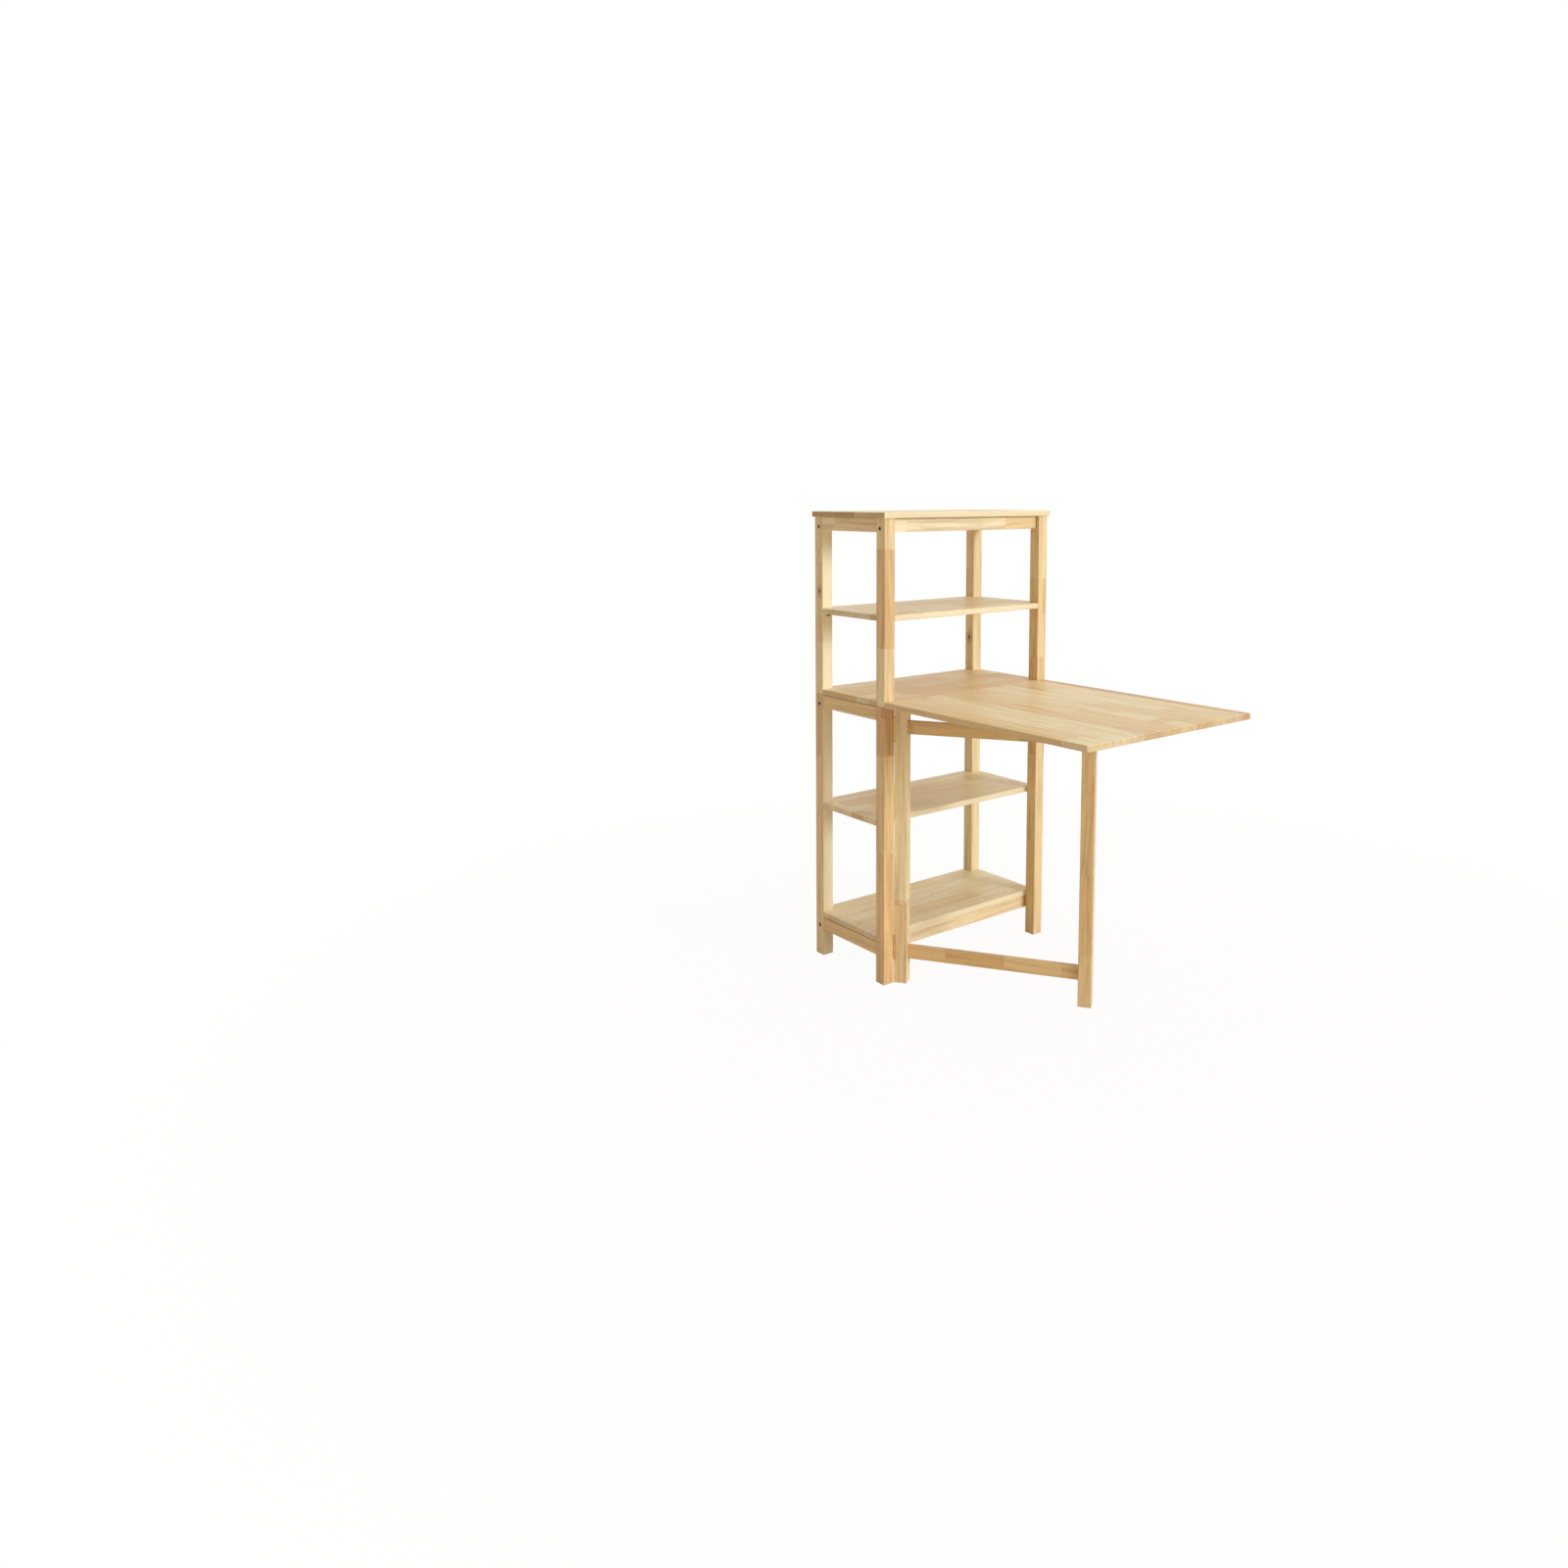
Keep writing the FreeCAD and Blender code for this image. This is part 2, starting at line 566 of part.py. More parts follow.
gate_leg = make_gate_upright("gate_leg", LEG_FACE)
leg_dowels = new_sketch(gate_leg, "dowels", "YZ_Plane", LEG_FACE)
for spot in gate_dowel_spots:
    draw_circle(leg_dowels, *spot, size.dowel_diameter)
cut(gate_leg, leg_dowels, size.dowel_depth, backwards=True)
place_on_gate(gate_leg)

for rail_name, rail_level in GATE_RAIL_LEVELS.items():
    gate_rail = new_body(f"gate_{rail_name}_rail")
    plan = new_sketch(gate_rail, "plan", "XY_Plane", rail_level)
    draw_rectangle(plan, GATE_RAIL_START, size.gate_rail_setback, LEG_FACE,
                   f"({size.gate_rail_setback} + {size.gate_rail_thickness})")
    pad(gate_rail, plan, size.gate_rail_height)
    ease_edges(gate_rail, size.rail_edge_radius, lambda middle, direction: along(direction, 0))
    rail_spots = []
    for dowel_rise in DOWEL_RISES:
        rail_spots.append((GATE_DOWEL_LINE, f"({rail_level} + {size.gate_rail_height} / 2 + {dowel_rise})"))
    for end_name, end_face, into_rail in (("near", GATE_RAIL_START, True), ("far", LEG_FACE, False)):
        end_holes = new_sketch(gate_rail, f"{end_name}_dowels", "YZ_Plane", end_face)
        for spot in rail_spots:
            draw_circle(end_holes, *spot, size.dowel_diameter)
        cut(gate_rail, end_holes, size.dowel_depth, backwards=into_rail)
    place_on_gate(gate_rail)


# Hinges. A plate carries its own knuckles and is cut clear of the other plate's.
def knuckle_spans(length, mine):
    """Start and end of each knuckle along the hinge: even ones belong to one plate, odd to the other."""
    pitch = f"({length} / {KNUCKLES})"
    gap = f"({size.knuckle_clearance} / 2)"
    spans = []
    for index in range(KNUCKLES):
        if (index % 2 == 0) != mine:
            continue
        low = f"({pitch} * {index} - {length} / 2" + (")" if index == 0 else f" + {gap})")
        last = index == KNUCKLES - 1
        high = f"({pitch} * {index + 1} - {length} / 2" + (")" if last else f" - {gap})")
        spans.append((low, high))
    return spans


def clear_spans(length, mine):
    """The stretches where a plate is cut back, each with a gap to its neighbour's knuckle."""
    gap = size.knuckle_clearance
    return [(f"({low} - {gap})", f"({high} + {gap})") for low, high in knuckle_spans(length, not mine)]


def countersink(body, sketch_role, face, spots, thickness, backwards):
    """Sinks a cone through a plate for each screw head, wide at the plate's open face."""
    for index, (along_plate, across_plate) in enumerate(spots):
        profile = new_sketch(body, f"sink_{index}", sketch_role, face)
        draw_circle(profile, along_plate, across_plate, size.hinge_screw_head)
        feature = cut(body, profile, thickness, backwards)
        slope = f"atan(({size.hinge_screw_head} - {size.hinge_screw_diameter}) / 2 / {thickness})"
        feature.setExpression("TaperAngle", f"-{slope}")
        doc.recompute()


def make_leaf_plate(label, line, fixed):
    """One plate of a leaf hinge, drawn about the hinge axis with its length along X."""
    body = new_body(label)
    length = size.leaf_hinge_length
    sign = "" if fixed else "-"
    outer = f"({sign}{size.leaf_hinge_width})"
    low = f"({size.leaf_axis_drop} - {size.leaf_hinge_thickness})"
    half = f"({length} / 2)"

    plate = new_sketch(body, "plate", "XY_Plane", low)
    draw_rectangle(plate, f"-{half}", "0", half, outer)
    pad(body, plate, size.leaf_hinge_thickness)
    barrel = new_sketch(body, "barrel", "YZ_Plane", f"-{half}")
    draw_circle(barrel, "0", "0", f"(2 * {size.leaf_knuckle_radius})")
    pad(body, barrel, length)

    clear = f"({size.leaf_knuckle_radius} + {size.knuckle_clearance})"
    gaps = new_sketch(body, "gaps", "XY_Plane", size.leaf_axis_drop)
    for start, end in clear_spans(length, fixed):
        draw_rectangle(gaps, start, f"-{clear}", end, clear)
    cut(body, gaps, f"({size.leaf_axis_drop} + {clear})")

    bore = size.leaf_pin_radius if fixed else f"({size.leaf_pin_radius} + {size.pin_clearance})"
    hole = new_sketch(body, "bore", "YZ_Plane", f"-{half}")
    draw_circle(hole, "0", "0", f"(2 * {bore})")
    cut(body, hole, length, backwards=True)

    screws = [(shift, f"({sign}{size.hinge_screw_offset})") for shift in SCREW_SHIFTS]
    countersink(body, "XY_Plane", low, screws, size.leaf_hinge_thickness, True)
    place(body, line, LEAF_AXIS_Y, LEAF_AXIS_Z)


def make_gate_plate(label, level, fixed):
    """One plate of a gate hinge, drawn about the hinge axis with its length along Z."""
    body = new_body(label)
    length = size.gate_hinge_length
    sign = "-" if fixed else ""
    half = f"({length} / 2)"
    face = f"({sign}{GATE_PLATE_FACE})"
    inner = f"({sign}({GATE_PLATE_FACE} - {size.gate_hinge_thickness}))"

    plate = new_sketch(body, "plate", "XY_Plane", f"({level} - {half})")
    draw_rectangle(plate, face, "0", inner, size.gate_hinge_width)
    pad(body, plate, length)
    barrel = new_sketch(body, "barrel", "XY_Plane", f"({level} - {half})")
    draw_circle(barrel, "0", "0", f"(2 * {size.gate_knuckle_radius})")
    pad(body, barrel, length)

    clear = f"({size.gate_knuckle_radius} + {size.knuckle_clearance})"
    gaps = new_sketch(body, "gaps", "YZ_Plane", f"-{clear}")
    for start, end in clear_spans(length, fixed):
        draw_rectangle(gaps, f"-{clear}", f"({level} + {start})", clear, f"({level} + {end})")
    cut(body, gaps, f"(2 * {clear})", backwards=True)

    bore = size.gate_pin_radius if fixed else f"({size.gate_pin_radius} + {size.pin_clearance})"
    hole = new_sketch(body, "bore", "XY_Plane", f"({level} - {half})")
    draw_circle(hole, "0", "0", f"(2 * {bore})")
    cut(body, hole, length, backwards=True)

    screws = [(size.hinge_screw_offset, f"({level} + {shift})") for shift in SCREW_SHIFTS]
    countersink(body, "YZ_Plane", inner, screws, size.gate_hinge_thickness, not fixed)
    if fixed:
        place(body, GATE_AXIS_X, "0", "0")
    else:
        place_on_gate(body)


def make_pin(label, radius, length):
    pin = doc.addObject("Part::Cylinder", label)
    pin.Label = label
    pin.setExpression("Radius", radius)
    pin.setExpression("Height", length)
    pieces.append(pin)
    return pin


for hinge_name, hinge_line in LEAF_HINGE_LINES.items():
    make_leaf_plate(f"{hinge_name}_leaf_hinge_shelf_plate", hinge_line, fixed=True)
    make_leaf_plate(f"{hinge_name}_leaf_hinge_leaf_plate", hinge_line, fixed=False)
    leaf_pin = make_pin(f"{hinge_name}_leaf_hinge_pin", size.leaf_pin_radius, size.leaf_hinge_length)
    leaf_pin.Placement.Rotation = FreeCAD.Rotation(FreeCAD.Vector(0, 1, 0), 90)
    place(leaf_pin, f"({hinge_line} - {size.leaf_hinge_length} / 2)", LEAF_AXIS_Y, LEAF_AXIS_Z)

for hinge_name, hinge_level in GATE_HINGE_LEVELS.items():
    make_gate_plate(f"{hinge_name}_gate_hinge_post_plate", hinge_level, fixed=True)
    make_gate_plate(f"{hinge_name}_gate_hinge_gate_plate", hinge_level, fixed=False)
    gate_pin = make_pin(f"{hinge_name}_gate_hinge_pin", size.gate_pin_radius, size.gate_hinge_length)
    place(gate_pin, GATE_AXIS_X, "0", f"({hinge_level} - {size.gate_hinge_length} / 2)")


# Fasteners. Each kind is one node, a group of separate solids in rack or gate coordinates.
AXIS_X = FreeCAD.Vector(1, 0, 0)
AXIS_Y = FreeCAD.Vector(0, 1, 0)
AXIS_Z = FreeCAD.Vector(0, 0, 1)


def make_group(label, solids, on_gate=False):
    group = doc.addObject("Part::Feature", label)
    group.Label = label
    group.Shape = Part.makeCompound(solids)
    if on_gate:
        place_on_gate(group)
    else:
        place(group, "0", "0", "0")
    pieces.append(group)


def rod(diameter, length, base, axis):
    return Part.makeCylinder(number_of(diameter) / 2, number_of(length), base, axis)


def hinge_screw(base, axis, thickness):
    """A countersunk screw whose head lies flush with a plate at base and points along axis."""
    head = number_of(size.hinge_screw_head) / 2
    shank = number_of(size.hinge_screw_diameter) / 2
    depth = number_of(thickness)
    cone = Part.makeCone(head, shank, depth, base, axis)
    body = Part.makeCylinder(shank, number_of(size.hinge_screw_length) - depth, base + axis * depth, axis)
    return cone.fuse(body).removeSplitter()


def frame_bolt(seat, axis):
    """A socket head bolt: seat is the middle of the counterbore's floor, axis points into the rail."""
    head_height = number_of(size.bolt_head_height)
    socket_depth = number_of(size.bolt_socket_depth)
    grip = f"({size.post_size} - {size.counterbore_depth} + {size.barrel_nut_inset} + {size.bolt_end_margin})"
    shank = rod(size.bolt_diameter, f"({grip} - {size.bolt_end_gap})", seat, axis)
    head = rod(size.bolt_head_diameter, size.bolt_head_height, seat - axis * head_height, axis)
    corner = number_of(size.bolt_socket_width) / 3 ** 0.5
    middle = seat - axis * head_height
    side = FreeCAD.Vector(0, corner, 0)
    turns = [FreeCAD.Rotation(axis, 60 * step).multVec(side) + middle for step in range(7)]
    socket = Part.Face(Part.makePolygon(turns)).extrude(axis * socket_depth)
    return head.fuse(shank).removeSplitter().cut(socket)


frame_bolts = []
barrel_nuts = []
bolted_rails = [(FRONT_RAIL_LINE, "top", 1)] + [(BACK_RAIL_LINE, level, -1) for level in BOARD_OVER_RAIL]
for line_y, rail_level, nut_side in bolted_rails:
    height = f"({BOARD_OVER_RAIL[rail_level]} - {size.bolt_drop})"
    nut_length = number_of(size.barrel_nut_length)
    nut_face = f"({line_y} + {nut_side} * {size.rail_thickness} / 2)"
    for side in (1, -1):
        outer = "0" if side == 1 else size.rack_width
        bolt_seat = vector_of(f"({outer} + {side} * {size.counterbore_depth})", line_y, height)
        frame_bolts.append(frame_bolt(bolt_seat, AXIS_X * side))
        nut_x = f"({outer} + {side} * ({size.post_size} + {size.barrel_nut_inset}))"
        nut_start = vector_of(nut_x, nut_face, height)
        nut = rod(size.barrel_nut_diameter, size.barrel_nut_length, nut_start, AXIS_Y * -nut_side)
        thread_start = vector_of(f"({nut_x} - {size.barrel_nut_diameter})", line_y, height)
        thread = rod(size.bolt_diameter, f"(2 * {size.barrel_nut_diameter})", thread_start, AXIS_X)
        barrel_nuts.append(nut.cut(thread))
make_group("frame_bolts", frame_bolts)
make_group("barrel_nuts", barrel_nuts)

rail_dowels = []
side_dowel_length = f"({size.dowel_depth} + {size.side_dowel_depth})"
side_dowel_starts = [f"({size.post_size} - {size.dowel_depth})", f"({BACK_POST_FACE} - {size.side_dowel_depth})"]
for rail_level in BOARD_OVER_RAIL.values():
    for line_x in SCREW_LINES_X:
        for start_y in side_dowel_starts:
            for drop in SIDE_DOWEL_DROPS:
                start = vector_of(line_x, start_y, f"({rail_level} - {drop})")
                rail_dowels.append(rod(size.dowel_diameter, side_dowel_length, start, AXIS_Y))
cross_line = f"({BOTTOM_FRONT_RAIL_FACE} + {size.rail_thickness} / 2)"
cross_length = f"({size.cross_dowel_depth} + {size.dowel_depth})"
right_cross_start = f"({size.rack_width} - {size.rail_thickness} - {size.dowel_depth})"
for start_x in (f"({size.rail_thickness} - {size.cross_dowel_depth})", right_cross_start):
    for dowel_rise in DOWEL_RISES:
        start = vector_of(start_x, cross_line, f"({BOTTOM_UNDERSIDE} - {RAIL_MIDDLE} + {dowel_rise})")
        rail_dowels.append(rod(size.dowel_diameter, cross_length, start, AXIS_X))
make_group("rail_dowels", rail_dowels)

shelf_pins = []
pin_length = f"({size.shelf_pin_depth} + {size.shelf_pin_reach})"
pin_lines = [f"({size.post_size} / 2)", f"({size.rack_width} - {size.post_size} / 2)"]
pin_starts = [f"({size.post_size} - {size.shelf_pin_depth})", f"({BACK_POST_FACE} - {size.shelf_pin_reach})"]
for pin_level in SHELF_PIN_LEVELS:
    for line_x in pin_lines:
        for start_y in pin_starts:
            start = vector_of(line_x, start_y, pin_level)
            shelf_pins.append(rod(size.shelf_pin_diameter, pin_length, start, AXIS_Y))
make_group("shelf_pins", shelf_pins)

board_screws = []
for rail_top in BOARD_OVER_RAIL.values():
    seat_level = f"({rail_top} - {size.rail_height} + {size.board_screw_recess})"
    shank_length = f"({size.rail_height} - {size.board_screw_recess} + {size.board_screw_bite})"
    for x, y in BOARD_SCREW_SPOTS:
        seat = vector_of(x, y, seat_level)
        shank = rod(size.board_screw_diameter, shank_length, seat, AXIS_Z)
        head_base = vector_of(x, y, f"({seat_level} - {size.board_screw_head_height})")
        head = rod(size.board_screw_head, size.board_screw_head_height, head_base, AXIS_Z)
        board_screws.append(head.fuse(shank).removeSplitter())
make_group("board_screws", board_screws)

leaf_screw_level = f"({TABLE_UNDERSIDE} - {size.leaf_hinge_thickness})"
for label, sign in (("shelf_hinge_screws", ""), ("leaf_hinge_screws", "-")):
    hinge_screws = []
    for hinge_line in LEAF_HINGE_LINES.values():
        for shift in SCREW_SHIFTS:
            head = vector_of(f"({hinge_line} + {shift})",
                             f"({LEAF_AXIS_Y} + {sign}{size.hinge_screw_offset})", leaf_screw_level)
            hinge_screws.append(hinge_screw(head, AXIS_Z, size.leaf_hinge_thickness))
    make_group(label, hinge_screws)

post_screws = []
gate_screws = []
for hinge_level in GATE_HINGE_LEVELS.values():
    for shift in SCREW_SHIFTS:
        height = f"({hinge_level} + {shift})"
        post_head = vector_of(f"({GATE_AXIS_X} - {GATE_PLATE_FACE} + {size.gate_hinge_thickness})",
                              size.hinge_screw_offset, height)
        post_screws.append(hinge_screw(post_head, -AXIS_X, size.gate_hinge_thickness))
        gate_head = vector_of(f"({GATE_PLATE_FACE} - {size.gate_hinge_thickness})",
                              size.hinge_screw_offset, height)
        gate_screws.append(hinge_screw(gate_head, AXIS_X, size.gate_hinge_thickness))
make_group("post_hinge_screws", post_screws)
make_group("gate_hinge_screws", gate_screws, on_gate=True)

gate_dowels = []
dowel_length = f"(2 * {size.dowel_depth})"
for start_x in (f"({GATE_RAIL_START} - {size.dowel_depth})", f"({LEG_FACE} - {size.dowel_depth})"):
    for line_y, height in gate_dowel_spots:
        start = vector_of(start_x, line_y, height)
        gate_dowels.append(rod(size.dowel_diameter, dowel_length, start, AXIS_X))
make_group("gate_dowels", gate_dowels, on_gate=True)

# Checks, then one file for each piece.
doc.recompute()
for item in doc.Objects:
    if "Invalid" in item.State or "Error" in item.State:
        raise RuntimeError(f"{item.Name} failed: {item.State}")
for piece in pieces:
    if piece.Shape.isNull() or not piece.Shape.isValid():
        raise RuntimeError(f"{piece.Label} has no valid shape")
    if not piece.Shape.Solids:
        raise RuntimeError(f"{piece.Label} holds no solid")

os.makedirs("parts", exist_ok=True)
for piece in pieces:
    piece.Shape.exportStep(f"parts/{piece.Label}.step")
print(f"{len(pieces)} pieces written")
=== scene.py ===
import math

import bpy
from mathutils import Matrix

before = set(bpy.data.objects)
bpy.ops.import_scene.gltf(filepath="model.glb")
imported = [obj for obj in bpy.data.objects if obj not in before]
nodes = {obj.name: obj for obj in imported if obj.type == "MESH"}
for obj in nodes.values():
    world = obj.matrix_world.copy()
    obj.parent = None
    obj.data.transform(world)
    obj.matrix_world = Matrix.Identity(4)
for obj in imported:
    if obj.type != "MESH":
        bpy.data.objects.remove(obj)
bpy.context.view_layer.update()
print("frame loaded with", len(nodes), "pieces")

right = (1.0, 0.0, 0.0)
back = (0.0, 1.0, 0.0)
front = (0.0, -1.0, 0.0)
up = (0.0, 0.0, 1.0)
gateTurn = math.radians(-57)  # the gate as it stands at rest
gateAlong = (math.cos(gateTurn), math.sin(gateTurn), 0.0)
gateThrough = (-math.sin(gateTurn), math.cos(gateTurn), 0.0)


# colours are noted as they look on screen, 0 to 255, and turned into light by the usual curve
def paint(red, green, blue):
    linear = []
    for level in (red, green, blue):
        part = level / 255
        linear.append(part / 12.92 if part <= 0.04045 else ((part + 0.055) / 1.055) ** 2.4)
    return (linear[0], linear[1], linear[2], 1.0)


# small helpers for wiring nodes
def put(tree, kind, **settings):
    node = tree.nodes.new(kind)
    for name, setting in settings.items():
        setattr(node, name, setting)
    return node


def plug(tree, socket, source):
    if isinstance(source, bpy.types.NodeSocket):
        tree.links.new(source, socket)
    else:
        socket.default_value = source


def calc(tree, operation, first, second=0.0, third=0.0):
    node = put(tree, "ShaderNodeMath", operation=operation)
    for socket, source in zip(node.inputs, (first, second, third)):
        plug(tree, socket, source)
    return node.outputs[0]


def vectorCalc(tree, operation, first, second=(0.0, 0.0, 0.0)):
    node = put(tree, "ShaderNodeVectorMath", operation=operation)
    plug(tree, node.inputs[0], first)
    plug(tree, node.inputs[1], second)
    return node.outputs["Value" if operation in ("DOT_PRODUCT", "LENGTH") else "Vector"]


def join(tree, x, y, z):
    node = put(tree, "ShaderNodeCombineXYZ")
    for socket, source in zip(node.inputs, (x, y, z)):
        plug(tree, socket, source)
    return node.outputs[0]


def noise(tree, position, scale=1.0, detail=2.0, roughness=0.5):
    node = put(tree, "ShaderNodeTexNoise", noise_dimensions="3D")
    plug(tree, node.inputs["Vector"], position)
    node.inputs["Scale"].default_value = scale
    node.inputs["Detail"].default_value = detail
    node.inputs["Roughness"].default_value = roughness
    return node.outputs["Fac"]


def remap(tree, source, low, high, newLow=0.0, newHigh=1.0, smooth=False):
    node = put(tree, "ShaderNodeMapRange", interpolation_type="SMOOTHSTEP" if smooth else "LINEAR")
    plug(tree, node.inputs["Value"], source)
    levels = {"From Min": low, "From Max": high, "To Min": newLow, "To Max": newHigh}
    for name, level in levels.items():
        plug(tree, node.inputs[name], level)
    return node.outputs["Result"]


def blendColours(tree, mode, amount, first, second):
    node = put(tree, "ShaderNodeMix", data_type="RGBA", blend_type=mode)
    plug(tree, node.inputs["Factor"], amount)
    plug(tree, node.inputs["A"], first)
    plug(tree, node.inputs["B"], second)
    return node.outputs["Result"]


def blendShaders(tree, amount, first, second):
    node = put(tree, "ShaderNodeMixShader")
    for socket, source in zip(node.inputs, (amount, first, second)):
        tree.links.new(source, socket)
    return node.outputs[0]


# what the eye sees directly, mirrored or through something clear
def seenRays(tree):
    path = put(tree, "ShaderNodeLightPath").outputs
    indirect = calc(tree, "MAXIMUM", path["Is Glossy Ray"], path["Is Transmission Ray"])
    return calc(tree, "MAXIMUM", path["Is Camera Ray"], indirect)


def startMaterial(name):
    material = bpy.data.materials.new(name)
    material.use_nodes = True
    tree = material.node_tree
    return material, tree, tree.nodes["Principled BSDF"]


def addBump(tree, shader, height, strength, distance):
    bump = put(tree, "ShaderNodeBump")
    bump.inputs["Strength"].default_value = strength
    bump.inputs["Distance"].default_value = distance
    tree.links.new(height, bump.inputs["Height"])
    tree.links.new(bump.outputs["Normal"], shader.inputs["Normal"])


def addObject(name, data):
    thing = bpy.data.objects.new(name, data)
    bpy.context.scene.collection.objects.link(thing)
    return thing


def dress(name, material):
    piece = nodes[name]
    piece.data.materials.clear()
    piece.data.materials.append(material)


# glued wood: strips across the board, finger-jointed lengths along it, each with its own tone
stripWood = {
    "cream": paint(249, 237, 202),
    "pale": paint(245, 226, 182),
    "honey": paint(238, 209, 158),
    "warm": paint(229, 192, 136),
    "tan": paint(208, 162, 108),
    "brown": paint(166, 114, 68),
    "endGrain": paint(176, 136, 92),
    "yellowish": (1.0, 1.0, 0.93, 1.0),
    "rosy": (1.0, 0.972, 0.94, 1.0),
    "middleTones": {"pale": 0.20, "honey": 0.45, "warm": 0.75},
    # where the lengths of a strip start, and how unlike they are
    "stripStep": 0.37,
    "seedStep": 1.71,
    "stripRow": 5.3,
    "seedRow": 3.13,
    "uneven": 0.8,
    # how far apart in the tree two lengths were cut
    "lean": 0.05,
    "toneBit": 7.0,
    "seedBit": 1.3,
    "alongBit": 23.0,
    "acrossBit": 17.0,
    # grain, along and across the wood
    "streak": dict(perMetre=(2.6, 64.0), detail=4.0, roughness=0.55),
    "line": dict(perMetre=(7.0, 190.0), detail=2.0, roughness=0.5),
    "fibre": dict(perMetre=(16.0, 520.0), detail=2.0, roughness=0.6),
    "pore": dict(perMetre=(55.0, 1300.0), detail=1.0, roughness=0.5),
    "figure": dict(perMetre=(1.7, 26.0), detail=2.0, roughness=0.5),
    "ringWander": 7.0,
    "ringPerMetre": 34.0,
    "ringSharpness": 2.2,
    # from, to, and what that becomes
    "streakRange": (0.54, 0.26, 0.0, 0.9),
    "lineRange": (0.48, 0.30, 0.0, 0.45),
    "poreRange": (0.60, 0.72, 0.0, 1.0),
    "fibreRange": (0.2, 0.8, 0.94, 1.04),
    "glueRange": (0.0002, 0.0009, 0.20, 0.0),
    "buttRange": (0.0002, 0.0008, 0.16, 0.0),
    "facingRange": (0.6, 0.9, 0.0, 1.0),
    "thirstRange": (0.0, 1.0, 0.75, 1.4),
    "ringTint": 0.16,
    "poreTint": 0.28,
    # polish and relief
    "roughness": 0.36,
    "fibreRoughness": 0.16,
    "endRoughness": 0.12,
    "poreRoughness": 0.10,
    "poreHeight": -0.8,
    "glueHeight": -2.0,
}


